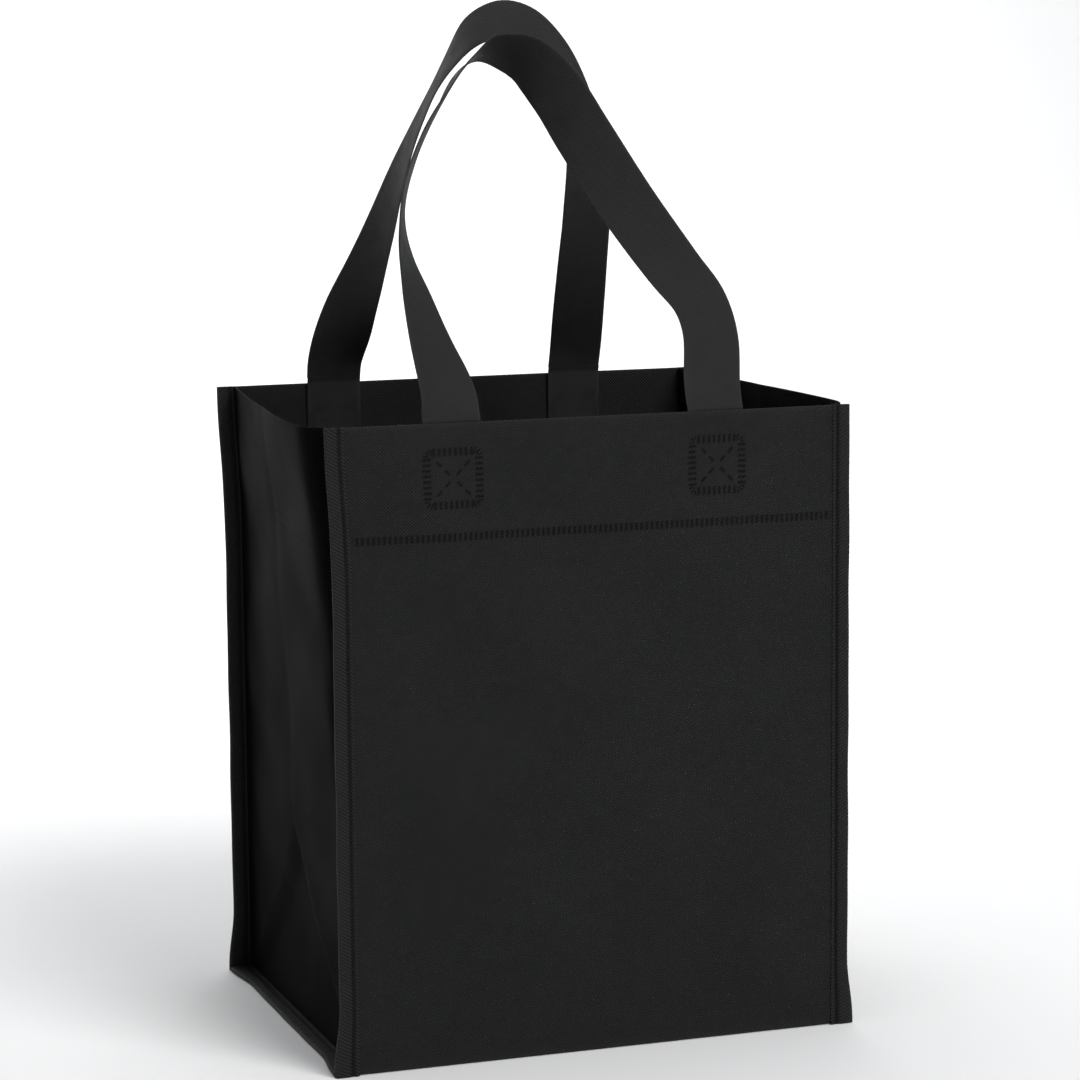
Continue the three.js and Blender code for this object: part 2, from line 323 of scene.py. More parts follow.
class Shader:
    """A material's nodes, added one at a time."""

    def __init__(self, name, roughness, specular, sheen=0.0):
        self.material = bpy.data.materials.new(name)
        self.material.use_nodes = True
        self.tree = self.material.node_tree
        self.surface = self.tree.nodes["Principled BSDF"]
        self.surface.inputs["Roughness"].default_value = roughness
        self.surface.inputs["Specular IOR Level"].default_value = specular
        self.surface.inputs["Sheen Weight"].default_value = sheen
        self.surface.inputs["Sheen Roughness"].default_value = 0.45
        self.uv = self.add("ShaderNodeUVMap", {}).outputs[0]

    def add(self, kind, inputs, **settings):
        node = self.tree.nodes.new(kind)
        for key, value in settings.items():
            setattr(node, key, value)
        for key, value in inputs.items():
            if isinstance(value, bpy.types.NodeSocket):
                self.tree.links.new(value, node.inputs[key])
            else:
                node.inputs[key].default_value = value
        return node

    def math(self, operation, a, b=0.0):
        return self.add("ShaderNodeMath", {0: a, 1: b}, operation=operation).outputs[0]

    def axes(self):
        split = self.add("ShaderNodeSeparateXYZ", {0: self.uv})
        return split.outputs[0], split.outputs[1]

    def mask(self, name):
        return self.add("ShaderNodeAttribute", {}, attribute_name=name).outputs["Fac"]

    def noise(self, size, detail=2.0, roughness=0.5):
        """Noise whose lumps are about size across, in metres."""
        return self.add("ShaderNodeTexNoise", {
            "Vector": self.uv, "Scale": 1 / size, "Detail": detail, "Roughness": roughness,
        }).outputs[0]

    def ramp(self, value, start, end, low, high):
        """Runs from low to high while value runs from start to end."""
        return self.add("ShaderNodeMapRange", {
            "Value": value, "From Min": start, "From Max": end, "To Min": low, "To Max": high,
        }).outputs[0]

    def spread(self, value, low, high):
        """Noise around one half, stretched to run from low to high."""
        return self.ramp(value, 0.3, 0.7, low, high)

    def wave(self, coordinate, pitch):
        return self.math("SINE", self.math("MULTIPLY", coordinate, 2 * math.pi / pitch))

    def diamonds(self, pitch):
        """Crossing diagonal rows of small dents, deeper along one diagonal than along the other."""
        u, v = self.axes()
        one = self.math("MULTIPLY", self.wave(self.math("SUBTRACT", u, v), pitch), 0.6)
        other = self.math("MULTIPLY", self.wave(self.math("ADD", u, v), pitch), 0.4)
        return self.math("ADD", one, other)

    def bump(self, height, distance, strength=1.0, normal=None):
        inputs = {"Height": height, "Distance": distance, "Strength": strength}
        if normal is not None:
            inputs["Normal"] = normal
        return self.add("ShaderNodeBump", inputs).outputs[0]

    def tint(self, amount, low, high):
        """A colour that runs from low to high with amount."""
        mix = self.add("ShaderNodeMix", {"Factor": amount}, data_type="RGBA")
        mix.inputs[6].default_value = (*low, 1)
        mix.inputs[7].default_value = (*high, 1)
        return mix.outputs[2]

    def blend_colour(self, amount, base, other):
        mix = self.add("ShaderNodeMix", {"Factor": amount}, data_type="RGBA")
        self.tree.links.new(base, mix.inputs[6])
        mix.inputs[7].default_value = (*other, 1)
        return mix.outputs[2]

    def set(self, socket, value):
        self.tree.links.new(value, self.surface.inputs[socket])


def grey(value, cool=0.0):
    return (value * (1 - cool), value, value * (1 + cool))


def spunbond(name, tone, pitch, specular, sheen, cool=0.02, depth=0.0003):
    """Spunbond cloth: rows of dents with painted shade in their hollows, loose fibres, cloudy thickness,
    pressed places darkened partly by painted shade, and worn places.
    """
    cloth = Shader(name, roughness=0.7, specular=specular, sheen=sheen)
    dents = cloth.diamonds(pitch)
    fibres = cloth.noise(0.0006, detail=3, roughness=0.65)
    clouds = cloth.noise(0.011, detail=4, roughness=0.6)
    broad = cloth.noise(0.07, detail=1)
    press = cloth.mask("press")
    wear = cloth.mask("wear")
    colour = cloth.tint(cloth.spread(clouds, 0, 1), grey(tone * 0.82, cool), grey(tone * 1.2, cool))
    colour = cloth.blend_colour(cloth.math("MULTIPLY", cloth.spread(fibres, 0, 1), 0.35), colour,
                                grey(tone * 1.7, cool))
    # Painted shade: the dents' hollows are darkened as well as bumped.
    dent_painted_shade = cloth.ramp(dents, 0.35, -0.35, 0.0, 0.85)
    colour = cloth.blend_colour(dent_painted_shade, colour, grey(tone * 0.15, cool))
    worn = cloth.math("MULTIPLY", wear, cloth.spread(fibres, 0.25, 0.9))
    colour = cloth.blend_colour(worn, colour, grey(tone * 2.6, cool))
    # Pressed weld marks are darkened: partly the welded cloth's own darker tone, partly painted shade in
    # the pressed dents.
    cloth.set("Base Color", cloth.blend_colour(cloth.spread(press, 0, 1), colour, grey(tone * 0.05, cool)))
    rough = cloth.math("ADD", cloth.spread(broad, 0.6, 0.72), cloth.spread(fibres, -0.06, 0.06))
    cloth.set("Roughness", rough)
    ground = cloth.bump(clouds, 0.0004, 0.5)
    weave = cloth.bump(fibres, 0.00006, 0.6, ground)
    cloth.set("Normal", cloth.bump(dents, depth, 0.9, weave))
    return cloth.material


def twill(name, tone, pitch):
    """Tape: close rows of small raised dots set on a slant, with a painted highlight on their tops and
    painted shade between them, and painted shade in a groove where press is.
    """
    band = Shader(name, roughness=0.6, specular=0.14, sheen=0.01)
    u, v = band.axes()
    slant = band.math("ADD", band.math("MULTIPLY", u, 0.5), v)
    dots = band.math("MULTIPLY", band.wave(slant, pitch), band.wave(u, pitch * 0.9))
    fibres = band.noise(0.0005, detail=3)
    clouds = band.noise(0.009, detail=2)
    wear = band.mask("wear")
    colour = band.tint(band.spread(clouds, 0, 1), grey(tone * 0.8, 0.01), grey(tone * 1.25, 0.01))
    # Painted shade between the raised dots and a painted highlight on their tops.
    colour = band.blend_colour(band.ramp(dots, 0.1, -0.5, 0.0, 0.85), colour, grey(tone * 0.2))
    colour = band.blend_colour(band.ramp(dots, 0.1, 0.9, 0.0, 0.7), colour, grey(tone * 2.2))
    worn = band.math("MULTIPLY", wear, band.spread(fibres, 0.2, 0.8))
    colour = band.blend_colour(worn, colour, grey(tone * 2.4))
    # Painted shade in the groove along each row of stitches, where press is.
    groove = band.ramp(band.mask("press"), 0.05, 0.4, 0.0, 1.0)
    band.set("Base Color", band.blend_colour(groove, colour, grey(tone * 0.06)))
    band.set("Roughness", band.spread(clouds, 0.56, 0.68))
    band.set("Normal", band.bump(dots, 0.0003, 0.9, band.bump(fibres, 0.0001, 0.6)))
    return band.material


def strap_cloth(name, tone):
    """Strap: several pressed layers with a fine dotted grain along it and softly worn edges."""
    band = Shader(name, roughness=0.62, specular=0.16, sheen=0.01)
    dots = band.diamonds(0.0017)
    fibres = band.noise(0.0007, detail=3)
    clouds = band.noise(0.014, detail=3)
    wear = band.mask("wear")
    press = band.mask("press")
    colour = band.tint(band.spread(clouds, 0, 1), grey(tone * 0.85, 0.01), grey(tone * 1.2, 0.01))
    worn = band.math("MULTIPLY", wear, band.spread(fibres, 0.2, 0.9))
    colour = band.blend_colour(worn, colour, grey(tone * 2.3))
    # The welded stamp at each end is darkened: partly the welded strap's own darker tone, partly painted
    # shade in the pressed dents.
    band.set("Base Color", band.blend_colour(band.math("MULTIPLY", press, 0.8), colour, grey(tone * 0.4)))
    band.set("Roughness", band.spread(clouds, 0.55, 0.7))
    ground = band.bump(clouds, 0.0005, 0.6, band.bump(fibres, 0.0001, 0.5))
    band.set("Normal", band.bump(dots, 0.00016, 0.9, ground))
    return band.material


def thread_yarn():
    yarn = Shader("thread", roughness=0.6, specular=0.2, sheen=0.02)
    u, v = yarn.axes()
    twist = yarn.wave(yarn.math("ADD", u, v), 0.0005)
    # Painted highlight: lighter along the twist's raised crests.
    yarn.set("Base Color", yarn.tint(yarn.math("MULTIPLY", twist, 0.5), grey(0.003), grey(0.007)))
    yarn.set("Normal", yarn.bump(twist, 0.00006, 0.8))
    return yarn.material


def board_plastic():
    plastic = Shader("board_plastic", roughness=0.5, specular=0.4)
    grain = plastic.noise(0.0011, detail=3)
    scuffs = plastic.noise(0.03, detail=5, roughness=0.7)
    plastic.set("Base Color", plastic.tint(plastic.spread(scuffs, 0, 1), grey(0.008), grey(0.014)))
    plastic.set("Roughness", plastic.spread(scuffs, 0.42, 0.62))
    plastic.set("Normal", plastic.bump(grain, 0.0001, 0.7))
    return plastic.material


PANEL_CLOTH = spunbond("panel_cloth", 0.0128, 0.0019, specular=0.16, sheen=0.01)
# Painted shade: the sides use the panels' cloth made darker and cooler, because they lie in shade.
SIDE_CLOTH_PAINTED_SHADE = spunbond("side_cloth", 0.0026, 0.0019, specular=0.02, sheen=0.0, cool=0.05)
TAPE_CLOTH = twill("tape_cloth", 0.0135, 0.0021)
STRAP_CLOTH = strap_cloth("strap_cloth", 0.0135)
THREAD_YARN = thread_yarn()
BOARD_PLASTIC = board_plastic()


# ---------------------------------------------------------------- weld marks

def dash_row(along, across, length):
    """A row of pressed bars: along runs down the row, across is measured from its middle."""
    phase = np.abs((along / DASH_PITCH) % 1 - 0.5) * DASH_PITCH
    bar = 1 - smooth(DASH_WIDTH / 2 - 0.0001, DASH_WIDTH / 2 + 0.0006, phase)
    return bar * (1 - smooth(length / 2 - 0.0002, length / 2 + 0.0005, np.abs(across)))


def stamp(x, z):
    """The square mark that holds a strap's end: a frame of short bars around a broken cross."""
    edge = STAMP_HALF - STAMP_BAND / 2
    corner = STAMP_HALF - STAMP_BAND * 1.2
    top = dash_row(x, np.abs(z) - edge, STAMP_BAND) * (np.abs(x) < corner)
    sides = dash_row(z, np.abs(x) - edge, STAMP_BAND) * (np.abs(z) < corner)
    cx, cz = np.abs(x) - corner, np.abs(z) - corner
    radius = np.hypot(cx, cz)
    angle = np.arctan2(cz, cx) / (math.pi / 2)
    ray = 1 - smooth(0.16, 0.34, np.abs((angle * 3) % 1 - 0.5))
    near = smooth(0.0012, 0.002, radius) * (1 - smooth(STAMP_BAND + 0.0004, STAMP_BAND + 0.0012, radius))
    rays = ray * near * (cx > 0) * (cz > 0)
    out = (np.abs(x) + np.abs(z)) / math.sqrt(2)
    off = np.abs(np.abs(x) - np.abs(z)) / math.sqrt(2)
    bars = 1 - smooth(0.0004, 0.0012, off)
    broken = smooth(0.0025, 0.0031, out) * (1 - smooth(0.0066, 0.0073, out))
    broken += smooth(0.0095, 0.0101, out) * (1 - smooth(0.0136, 0.0143, out))
    return np.clip(top + sides + rays + bars * broken, 0, 1)


def weld_marks(x, z):
    marks = dash_row(x, z - WELD_ROW, DASH_HEIGHT) * (np.abs(x) < SEAM - 0.0015)
    for strap_x in (STRAP_LEFT_X, STRAP_RIGHT_X):
        marks = np.maximum(marks, stamp(x - strap_x, z - STAMP_HEIGHT))
    return marks


# ---------------------------------------------------------------- front, base and back

# Soft waves in the cloth: height, turns across and up (radians a metre), and shift of each panel
PANEL_WAVES = [(0.0011, 21, 13, 1), (0.0007, -34, 19, 2), (0.0005, 55, 41, 0), (0.0004, -29, 71, 1)]
PANEL_FULLNESS = 0.0008
SIDE_WAVES = [(0.0006, 24, 58, 1), (0.0005, 31, -40, 0), (0.0003, -52, 95, 0)]


def cloth_waves(waves, which, across, up):
    """Soft waves of a panel. which is -1 or 1 and makes opposite panels differ."""
    return sum(
        height * np.sin(turns * across + rise * up + shift * which)
        for height, turns, rise, shift in waves
    )


def panel_swell(end, x, z):
    """How far the front or the back stands proud of its flat plane: soft waves and seam puckers."""
    inside = smooth(0, 0.045, SEAM - np.abs(x))
    level = smooth(0.004, 0.05, z) * (1 - 0.75 * smooth(HEIGHT - 0.09, HEIGHT, z))
    waves = PANEL_FULLNESS + cloth_waves(PANEL_WAVES, end, x, z)
    belly = 0.0022 * np.exp(-((x + 0.07) / 0.09) ** 2 - ((z - 0.1) / 0.08) ** 2)
    edge = np.exp(-(SEAM - np.abs(x)) / 0.009) * (np.abs(x) < SEAM)
    pucker = 0.00028 * edge * np.sin(2 * math.pi * z / 0.017 + 3 * np.sin(9 * z))
    hem_step = HEM_STEP * smooth(WELD_ROW - 0.004, WELD_ROW + 0.004, z)
    return (waves + belly) * inside * level + pucker * level + hem_step * inside


def mouth_spread(side, z):
    """How far the left flanges lean outwards near the mouth."""
    return MOUTH_SPREAD[side] * smooth(HEIGHT - MOUTH_SPREAD_DEPTH, HEIGHT, z)


def strip_points(end, x, depth, z, upright):
    """Points of the strip. upright is 0 on the base and 1 on the front or the back."""
    x, depth, z, upright = np.broadcast_arrays(x, depth, z, upright)
    x = x - mouth_spread(LEFT, z) * np.clip(-x / SEAM, 0, 1.1) ** 3
    depth = depth - panel_swell(end, x, z) * upright
    flange = smooth(SEAM - 0.002, SEAM + 0.001, np.abs(x))
    lift = BASE_STEP * flange * (1 - upright)
    sag = 0.00012 * np.sin(40 * x) * np.sin(50 * depth) * (1 - upright) * (1 - flange)
    return np.stack([x, end * (HALF_DEPTH - depth), z + lift + np.abs(sag)], axis=-1)


def low_rows():
    """Rows of the strip's base, corner and lower panel: depth, height, and 0 to 1 from base to panel."""
    half = CLOTH / 2
    floor_depth = steps(HALF_DEPTH, CREASE + 0.001, FLOOR_STEP)
    arc = np.linspace(0, math.pi / 2, 7)
    arc_depth = half + CORNER_RADIUS * (1 - np.sin(arc))
    arc_z = half + CORNER_RADIUS * (1 - np.cos(arc))
    panel_z = steps(half + CORNER_RADIUS, PLAIN_TOP, PANEL_STEP)
    depth = join_rows(floor_depth, [0, *arc_depth], [0] + [half] * (len(panel_z) - 1))
    rise = join_rows([half] * len(floor_depth), [0, *arc_z], panel_z)
    upright = join_rows(
        [0] * len(floor_depth), [0, *(arc / (math.pi / 2))], [0] + [1] * (len(panel_z) - 1),
    )
    return depth, rise, upright


def high_rows():
    """Rows of the strip's upper panel and its hem: depth, height, and 1 on the outside, 0 on the hem."""
    half = CLOTH / 2
    panel_z = join_rows(
        steps(*WELD_ROW_SPAN, FINE_STEP), steps(WELD_ROW_SPAN[1], STAMP_SPAN[0], 0.0025),
        steps(*STAMP_SPAN, FINE_STEP), steps(STAMP_SPAN[1], HEIGHT - 0.001, 0.003),
    )
    turn = np.linspace(0, math.pi, 7)[1:]
    turn_depth = half + LAYER / 2 * (1 - np.cos(turn))
    turn_z = HEIGHT - half - LAYER / 2 + LAYER / 2 * np.sin(turn)
    hem_z = steps(HEIGHT - 0.002, WELD_ROW, HEM_MESH_STEP)
    depth = np.concatenate([[half] * len(panel_z), turn_depth, [half + LAYER] * len(hem_z)])
    rise = np.concatenate([panel_z, turn_z, hem_z])
    outside = np.concatenate([[1] * len(panel_z), [0] * (len(turn_z) + len(hem_z))])
    return depth, rise, outside


def make_strip(end_name, end):
    """Half of the long strip: half of the base, the front or the back, and the hem turned in."""
    low_depth, low_rise, low_upright = low_rows()
    high_depth, high_rise, outside = high_rows()
    coarse_x = np.linspace(-FLANGE, FLANGE, 101)
    fine_x = np.linspace(-FLANGE, FLANGE, 401)
    low = strip_points(end, coarse_x, low_depth[:, None], low_rise[:, None], low_upright[:, None])
    high = strip_points(end, fine_x, high_depth[:, None], high_rise[:, None], 1.0)
    press = weld_marks(fine_x[None, :], high_rise[:, None]) * outside[:, None]
    mouth = np.exp(-np.abs(HEIGHT - high_rise) / 0.0012)[:, None] * np.ones_like(press) * 0.5
    corner = np.exp(-np.hypot(low_depth - 0.001, low_rise - 0.001) / 0.002)
    foot = corner[:, None] * np.ones(low.shape[:2]) * 0.6
    low_run = distance_along(low_depth, low_rise)
    high_run = low_run[-1] + FINE_STEP + distance_along(high_depth, high_rise)
    bands = [
        Band(low, coarse_x[None, :], low_run[:, None], wear=foot),
        Band(high, fine_x[None, :], high_run[:, None], press=press, wear=mouth),
    ]
    piece = sheet_mesh(f"cloth_{end_name}", bands, CLOTH, PANEL_CLOTH, (0, end, 0))
    base = f"base_{HALF_NAME[end]}"
    body = PANEL_BODY[end]
    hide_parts(body, base)
    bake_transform(piece)


# ---------------------------------------------------------------- sides

SIDE_SWELL = {LEFT: 0.0225, RIGHT: 0.013}


def side_swell(side, y, z):
    """How far a side panel stands out from its seams, most at the mouth and near the front."""
    span = HALF_DEPTH - CREASE
    t = np.clip((y + span) / (2 * span), 0, 1)
    profile = (1 - np.exp(-t / 0.022)) * np.clip(1 - t ** 1.6, 0, 1)
    rise = np.clip((z - 0.02) / (HEIGHT - 0.02), 0, 1)
    seam = np.clip(np.minimum(t, 1 - t) / 0.06, 0, 1)
    fold = -0.0007 * np.clip(1 - np.abs(y) / 0.014, 0, 1) * smooth(0.09, 0.16, z)
    waves = cloth_waves(SIDE_WAVES, side, y, z)
    level = smooth(0.004, 0.06, z) * (1 - 0.6 * smooth(0.33, HEIGHT, z))
    return SIDE_SWELL[side] * profile * rise ** 1.35 + fold * seam + waves * seam * level


def tuck_line(depth):
    """Height of the 45 degree crease that starts at a bottom corner."""
    return depth - CREASE + TUCK_LINE


def side_points(side, half, depth, inward, z, dip=0.0):
    """Points of a side panel, inward from its outer face. dip is how far a tuck lies behind it."""
    depth, inward, z, dip = np.broadcast_arrays(depth, inward, z, dip)
    y = half * (HALF_DEPTH - depth)
    x = SEAM - CLOTH / 2 + side_swell(side, y, z) + mouth_spread(side, z) - inward - dip
    return np.stack([side * x, y, z], axis=-1)


def make_side_half(side_name, side, half_name, half):
    """Half of a side panel above the 45 degree crease, with the hem turned in at the mouth."""
    depth = steps(CREASE, HALF_DEPTH, SIDE_STEP)[None, :]
    bottom = tuck_line(depth)
    share = np.linspace(0, 1, 60)[:, None]
    low_z = bottom + (SIDE_PLAIN_TOP - bottom) * share
    high_z = join_rows(
        steps(SIDE_PLAIN_TOP, WELD_ROW - 0.006, 0.003), steps(WELD_ROW - 0.006, WELD_ROW + 0.006, 0.0007),
        steps(WELD_ROW + 0.006, HEIGHT - 0.001, 0.004),
    )[1:]
    turn = np.linspace(0, math.pi, 6)[1:]
    turn_z = HEIGHT - CLOTH / 2 - LAYER / 2 + LAYER / 2 * np.sin(turn)
    hem_z = steps(HEIGHT - 0.002, WELD_ROW, HEM_MESH_STEP)
    z = np.concatenate([high_z, turn_z, hem_z])[:, None]
    inward = np.concatenate([
        [0] * len(high_z), LAYER / 2 * (1 - np.cos(turn)), [LAYER] * len(hem_z),
    ])[:, None]
    outside = np.concatenate([[1] * len(high_z), [0] * (len(turn_z) + len(hem_z))])[:, None]
    low = side_points(side, half, depth, 0.0, low_z)
    high = side_points(side, half, depth, inward, z)
    lines = sum(np.exp(-((z - WELD_ROW - offset) / 0.0007) ** 2) for offset in (-0.0026, 0.0026))
    press = lines * outside * 0.55 * np.ones(high.shape[:2])
    along_crease = np.exp(-np.abs(low_z - bottom) / 0.002) * 0.5
    middle_low = np.exp(-np.abs(HALF_DEPTH - depth) / 0.0018) * 0.5 * np.ones_like(low_z)
    middle_high = np.exp(-np.abs(HALF_DEPTH - depth) / 0.0018) * 0.5 * np.ones(high.shape[:2])
    run = distance_along(z[:, 0], inward[:, 0])[:, None]
    band = Band(
        np.concatenate([low, high]),
        half * (HALF_DEPTH - depth),
        np.concatenate([low_z, z[0] + run * np.ones_like(depth)]),
        press=np.concatenate([np.zeros(low.shape[:2]), press]),
        wear=np.concatenate([np.maximum(along_crease, middle_low), middle_high]),
    )
    node = f"side_{side_name}_{half_name}"
    piece = sheet_mesh(f"cloth_{node}", [band], CLOTH, SIDE_CLOTH_PAINTED_SHADE, (side, 0, 0))
    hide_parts(node)
    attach(piece, node)
    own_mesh(piece)


def make_tuck(side_name, side, half_name, half):
    """The lower triangle of a side panel, which folds in under the 45 degree crease."""
    depth = steps(CREASE, HALF_DEPTH, SIDE_STEP)[None, :]
    top = tuck_line(depth)
    share = np.linspace(0, 1, 40)[:, None]
    z = TUCK_FOOT + (top - TUCK_FOOT) * share
    below = (top - z) / math.sqrt(2)
    dip = TUCK_DIP * smooth(0, 0.022, below) * smooth(0, 0.03, z)
    points = side_points(side, half, depth, 0.0, z, dip)
    wear = np.maximum(np.exp(-below / 0.0016) * 0.6, np.exp(-(z - TUCK_FOOT) / 0.002) * 0.3)
    node = f"tuck_{side_name}_{half_name}"
    band = Band(points, half * (HALF_DEPTH - depth), z, wear=wear)
    piece = sheet_mesh(f"cloth_{node}", [band], CLOTH, SIDE_CLOTH_PAINTED_SHADE, (side, 0, 0))
    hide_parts(node)
    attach(piece, node)


# ---------------------------------------------------------------- seams and tape

def no_spread(height):
    """For a straight edge, which leans nowhere."""
    return np.zeros_like(height)


def make_seam_turn(name, body, start, end, inward, outward, spread=no_spread):
    """The edge of a side panel, turned out under the tape. inward points away from the tape."""
    start, end, inward, outward = (np.array(v, float) for v in (start, end, inward, outward))
    length = np.linalg.norm(end - start)
    share = np.linspace(0, 1, max(3, int(length / 0.012)))
    along = start + (end - start) * share[:, None] + outward * spread(share * length)[:, None]
    turn = np.linspace(0, math.pi / 2, 6)
    reach = CREASE - TURN_DEPTH
    out = np.concatenate([[TURN_INSIDE], TURN_RADIUS * (1 - np.sin(turn))])
    into = np.concatenate([[0], reach * (1 - np.cos(turn))])
    points = along[:, None, :] + outward * out[None, :, None] + inward * into[None, :, None]
    u = distance_along(out, into)[None, :]
    v = np.linspace(0, length, points.shape[0])[:, None]
    piece = sheet_mesh(name, [Band(points, u, v)], CLOTH, SIDE_CLOTH_PAINTED_SHADE, inward)
    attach(piece, body)


def tape_profile():
    """Points of the folded tape: how far out from the seam, and how far through from its outer face."""
    reach = TAPE_EDGE - SEAM
    out = np.concatenate([np.linspace(-0.0002, reach - 0.0013, 11), [reach - 0.0005, reach - TAPE / 2]])
    waist = np.exp(-((out - STITCH_INSET) / 0.0012) ** 2)
    puff = np.sin(np.clip(out / reach, 0, 1) * math.pi) * 0.00025
    through = TAPE / 2 + waist * 0.00028 - puff
    through[-2] += 0.0004
    through[-1] = TAPE_FOLDED * 0.36
    back = TAPE_FOLDED - through
    return np.concatenate([out, out[::-1]]), np.concatenate([through, back[::-1]])


def corner_flare(distance):
    """The tape stands out further near a bottom corner, where the turn of the strip pushes it."""
    return 1 + (TAPE_FLARE / TAPE_WIDTH) * (1 - smooth(0.0, 0.04, distance))


def make_tape(name, body, start, end, outward, through, spread=no_spread):
    """Tape folded over a flange from start to end, with its two rows of stitches."""
    start, end, outward, through = (np.array(v, float) for v in (start, end, outward, through))
    length = np.linalg.norm(end - start)
    share = steps(0, length, TAPE_STEP) / length
    out, across = tape_profile()
    line = start + (end - start) * share[:, None] + outward * spread(share * length)[:, None]
    stretch = corner_flare(share * length)
    wobble = 0.00012 * np.sin(share * length * 110) + 0.00012 * np.sin(share * length * 63 + 1)
    tug = 0.00006 * np.cos(2 * math.pi * share * length / STITCH_PITCH)
    thick = across[None, :] + tug[:, None] * np.sign(across - TAPE_FOLDED / 2)[None, :]
    reach = out[None, :] * stretch[:, None] + wobble[:, None] * (out / out.max())[None, :]
    points = line[:, None, :] + outward * reach[..., None] + through * thick[..., None]
    u = distance_along(out, across)[None, :]
    v = (share * length)[:, None]
    fold = np.exp(-np.abs(out - out.max()) / 0.0012)[None, :] * np.ones_like(v) * 0.7
    # The groove along each row of stitches: a shallow dent, which the tape's material also darkens with
    # painted shade.
    groove = np.exp(-((out - STITCH_INSET) / 0.0011) ** 2)[None, :] * np.ones_like(v) * 0.5
    tape = sheet_mesh(name, [Band(points, u, v, groove, fold)], TAPE, TAPE_CLOTH, -through, sharp=60)
    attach(tape, body)
    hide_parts(name.replace("tape", "binding"))
    count = int((length - STITCH_MARGIN) / STITCH_PITCH)
    places = STITCH_START + np.arange(count) * STITCH_PITCH
    middles = np.stack([np.interp(places, share * length, line[:, i]) for i in range(3)], axis=1)
    scale = np.interp(places, share * length, stretch)
    direction = (end - start) / length
    rows = []
    for face, sign in ((STITCH_SINK, -1), (TAPE_FOLDED - STITCH_SINK, 1)):
        spots = middles + outward * (STITCH_INSET * scale)[:, None] + through * face
        rows.append((spots, direction, through * sign))
    stitches = make_stitches(f"{name}_stitches", rows)
    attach(stitches, body)


def make_stitches(name, rows):
    """Short thread stitches, each a slim capsule that dips into the tape at its two ends."""
    sides = 6
    angle = np.arange(sides) * 2 * math.pi / sides
    half = STITCH_LENGTH / 2
    places = [(-half, 0.0, -0.00025), (-half * 0.72, 0.9, 0.00002), (0, 1.0, 0.00012),
              (half * 0.72, 0.9, 0.00002), (half, 0.0, -0.00025)]
    points, faces, uv = [], [], []
    for spots, direction, normal in rows:
        across = np.cross(direction, normal)
        template, around = [], []
        for distance, size, height in places:
            for turn in angle if size else (0.0,):
                ring = across * math.cos(turn) + normal * math.sin(turn)
                template.append(direction * distance + normal * height + ring * THREAD * size)
                around.append((turn * THREAD, distance))
        template = np.array(template)
        shape = stitch_faces(sides)
        for spot in spots:
            first = len(points)
            points.extend(spot + template)
            uv.extend(around)
            faces.extend([[first + i for i in face] for face in shape])
    piece = finish_mesh(name, np.array(points), faces, np.array(uv), {}, THREAD_YARN, sharp=80)
    even_out(piece)
    return piece


def stitch_faces(sides):
    """Faces of one stitch: three rings of points between two end points."""
    last = 3 * sides + 1
    faces = []
    for i in range(sides):
        j = (i + 1) % sides
        faces.append([0, 1 + j, 1 + i])
        for ring in (1, 1 + sides):
            faces.append([ring + i, ring + j, ring + sides + j, ring + sides + i])
        faces.append([1 + 2 * sides + i, 1 + 2 * sides + j, last])
    return faces


def make_corner(side_name, side, end_name, end):
    """Upright tape with the side panel's turned edge inside it."""
    body = PANEL_BODY[end]
    face = end * (HALF_DEPTH + TAPE)

    def spread(height):
        return mouth_spread(side, height)

    make_tape(
        f"tape_{side_name}_{end_name}", body, (side * SEAM, face, 0.0003), (side * SEAM, face, HEIGHT),
        (side, 0, 0), (0, -end, 0), spread,
    )
    line = (side * (SEAM - CLOTH / 2), end * (HALF_DEPTH - TURN_DEPTH))
    make_seam_turn(
        f"seam_turn_{side_name}_{end_name}", body, (*line, 0.002), (*line, HEIGHT),
        (0, -end, 0), (side, 0, 0), spread,
    )


def make_base_edge(side_name, side, half_name, half):
    """Tape along one half of the base's edge, with the tuck's turned edge inside it."""
    body = f"base_{half_name}"
    near, far = HALF_DEPTH - CREASE + 0.0003, 0.0
    make_tape(
        f"tape_{side_name}_base_{half_name}", body, (side * SEAM, half * near, 0.0),
        (side * SEAM, half * far, 0.0), (side, 0, 0), (0, 0, 1),
    )
    line = side * (SEAM - CLOTH / 2)
    make_seam_turn(
        f"seam_turn_{side_name}_base_{half_name}", body,
        (line, half * near, 0.0011), (line, 0, 0.0011), (0, 0, 1), (side, 0, 0),
    )


# ---------------------------------------------------------------- bottom board

def make_board(half_name, half):
    """One leaf of the bottom board, with round outer corners."""
    node = f"board_{half_name}"
    low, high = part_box(node)
    top, bottom = high[2], low[2]
    outer = max(abs(low[1]), abs(high[1]))
    wide = high[0]
    outline = [(-wide, 0.0), (wide, 0.0)]
    for centre, start in ((wide - BOARD_CORNER, 0), (-wide + BOARD_CORNER, math.pi / 2)):
        for turn in np.linspace(start, start + math.pi / 2, 8):
            x = centre + BOARD_CORNER * math.cos(turn)
            outline.append((x, outer - BOARD_CORNER + BOARD_CORNER * math.sin(turn)))
    count = len(outline)
    middle = np.array([(0.0, outer / 2)])
    ring = np.array(outline)
    small = middle + (ring - middle) * (1 - BOARD_BEVEL / wide * 2)
    levels = [(small, bottom), (ring, bottom + BOARD_BEVEL), (ring, top - BOARD_BEVEL), (small, top)]
    points = np.array([(x, half * y, z) for shape, z in levels for x, y in shape])
    faces = [list(range(count)), [3 * count + i for i in range(count)][::-1]]
    for level in range(3):
        below, above = level * count, (level + 1) * count
        for i in range(count):
            j = (i + 1) % count
            faces.append([below + i, above + i, above + j, below + j])
    uv = points[:, :2].copy()
    piece = finish_mesh(f"board_leaf_{half_name}", points, faces, uv, {}, BOARD_PLASTIC, 30)
    even_out(piece)
    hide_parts(node)
    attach(piece, f"base_{half_name}")


# ---------------------------------------------------------------- straps

